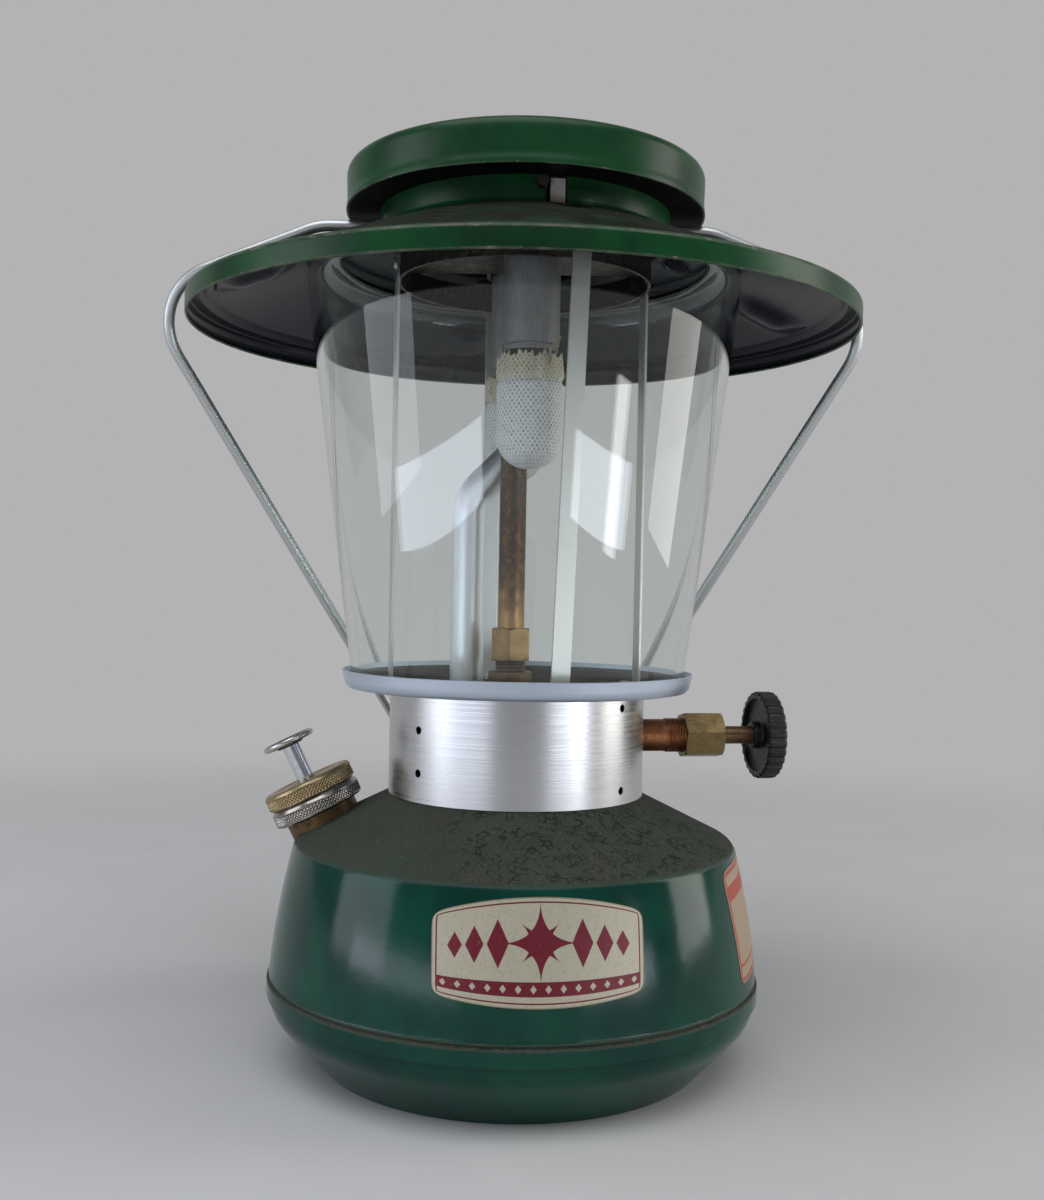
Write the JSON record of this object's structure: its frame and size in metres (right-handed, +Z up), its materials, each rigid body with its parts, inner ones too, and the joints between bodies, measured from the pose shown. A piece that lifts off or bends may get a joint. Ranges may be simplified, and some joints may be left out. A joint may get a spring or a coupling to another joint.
{
  "type": "camping lantern",
  "caption": "Liquid-fuel camping lantern with a round fount, a clear tapered globe over two mantles, a wide fluted hood, a wire bail, a control knob and a pump in the filler cap",
  "frame": {"origin": "centre of the foot ring, on the table", "axes": "+Z up along the lantern's axis, -Y the front, +X the side of the control knob"},
  "size_m": [0.2492, 0.2278, 0.3034],
  "materials": {
    "green_enamel": "glossy dark green vitreous enamel on steel",
    "bare_aluminium": "dull rolled aluminium",
    "plated_steel": "dull plated steel, heat stained",
    "galvanised_wire": "galvanised steel wire",
    "clear_glass": "clear heat-proof glass",
    "brass": "aged brass",
    "dull_brass": "heat-browned brass",
    "nickel": "worn nickel plate",
    "black_plastic": "black moulded phenolic",
    "black_rubber": "moulded rubber gasket",
    "graphite_packing": "graphited packing",
    "leather": "oiled leather cup",
    "mantle_cloth": "unburnt rayon mantle"
  },
  "bodies": {
    "lantern": {"fount_shell": "green_enamel", "fount_base": "green_enamel", "collar": "bare_aluminium", "heat_shield": "plated_steel", "frame_band": "plated_steel", "strap_front": "plated_steel", "strap_right": "plated_steel", "strap_rear": "plated_steel", "strap_left": "plated_steel", "frame_rivets": "plated_steel", "frame_bridge": "plated_steel", "valve_block": "dull_brass", "fuel_pickup": "dull_brass", "valve_packing": "graphite_packing", "packing_nut": "brass", "generator_nut": "brass", "generator_tube": "dull_brass", "air_tube": "plated_steel", "manifold": "plated_steel", "burner_front": "plated_steel", "burner_rear": "plated_steel", "screen_front": "plated_steel", "screen_rear": "plated_steel", "mantle_front": "mantle_cloth", "mantle_rear": "mantle_cloth", "filler_neck": "brass"},
    "globe": {"globe": "clear_glass"},
    "hood": {"hood": "green_enamel", "hood_cap": "green_enamel", "cap_brackets": "plated_steel", "cap_rivets": "green_enamel", "catch_pins": "plated_steel"},
    "bail": {"bail": "galvanised_wire"},
    "valve": {"valve_stem": "dull_brass", "valve_knob": "black_plastic", "knob_screw": "plated_steel"},
    "filler": {"filler_gasket": "black_rubber", "filler_cap": "nickel", "pump_cap": "brass", "pump_barrel": "brass", "pump_check_valve": "brass"},
    "pump": {"pump_rod": "nickel", "pump_button": "nickel", "pump_leather": "leather"}
  },
  "joints": [
    {"name": "hood_lift", "type": "slide", "parent": "lantern", "child": "hood", "axis": [0, 0, 1], "range_m": [0, 0.045]},
    {"name": "globe_lift", "type": "slide", "parent": "lantern", "child": "globe", "axis": [0, 0, 1], "range_m": [0, 0.0225]},
    {"name": "bail_swing", "type": "hinge", "parent": "hood", "child": "bail", "pos_m": [0, 0, 0.28412], "axis": [1, 0, 0], "range_deg": [0, 318]},
    {"name": "valve_turn", "type": "hinge", "parent": "lantern", "child": "valve", "pos_m": [0, 0, 0.10852], "axis": [0.9848, 0.1736, 0], "range_deg": [0, 270]},
    {"name": "filler_turn", "type": "hinge", "parent": "lantern", "child": "filler", "pos_m": [-0.066, 0, 0.07814], "axis": [-0.4384, 0, 0.8988], "range_deg": [0, 360]},
    {"name": "pump_slide", "type": "slide", "parent": "filler", "child": "pump", "axis": [-0.4384, 0, 0.8988], "range_m": [-0.012, 0.028]}
  ],
  "couplings": [
    {"joint": "globe_lift", "follows": "hood_lift", "ratio": 0.5}
  ]
}
